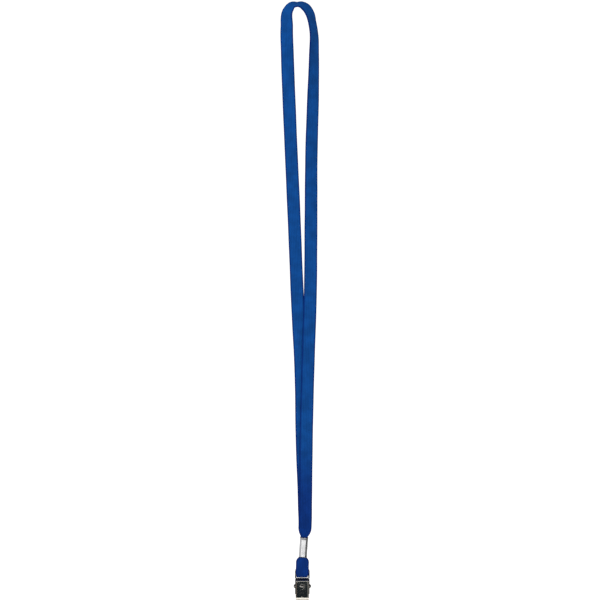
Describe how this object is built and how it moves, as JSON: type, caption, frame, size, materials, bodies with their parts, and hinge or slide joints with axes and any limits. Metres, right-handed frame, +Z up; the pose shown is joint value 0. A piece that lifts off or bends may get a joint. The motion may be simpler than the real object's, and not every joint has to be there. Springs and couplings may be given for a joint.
{
  "type": "lanyard badge holder",
  "caption": "Flat-tape neck lanyard in one long loop, with a metal crimp and a sprung bulldog clip that grips a badge or its strap.",
  "frame": {"origin": "the top of the neck loop, where the lanyard hangs on a neck or hook", "axes": "+Z up along the hanging lanyard, +X to the wearer's left as seen from the front, -Y out of the clip's front face"},
  "size_m": [0.0296, 0.0088, 0.4566],
  "materials": {
    "tape": "braided polyester, satin",
    "crimp_metal": "bright rolled",
    "clip_plate": "polished nickel plate",
    "rivet_steel": "nickel plate",
    "spring_wire": "drawn wire"
  },
  "bodies": {
    "neck": {"strap": "tape", "crimp": "crimp_metal"},
    "clip": {"rear_jaw": "clip_plate", "rivet": "rivet_steel", "spring": "spring_wire"},
    "jaw": {"front_jaw": "clip_plate"}
  },
  "joints": [
    {"name": "clip_swing", "type": "hinge", "parent": "neck", "child": "clip", "pos_m": [0.0032, -0.00025, -0.4206], "axis": [1, 0, 0], "range_deg": [-60, 60], "deforming": ["strap"]},
    {"name": "jaw_open", "type": "hinge", "parent": "clip", "child": "jaw", "pos_m": [0.0029, -0.0003, -0.4415], "axis": [-1, 0, 0], "range_deg": [0, 25], "stiffness_Nm_per_rad": 0.02, "springref_deg": -28.65, "deforming": ["spring"]}
  ]
}
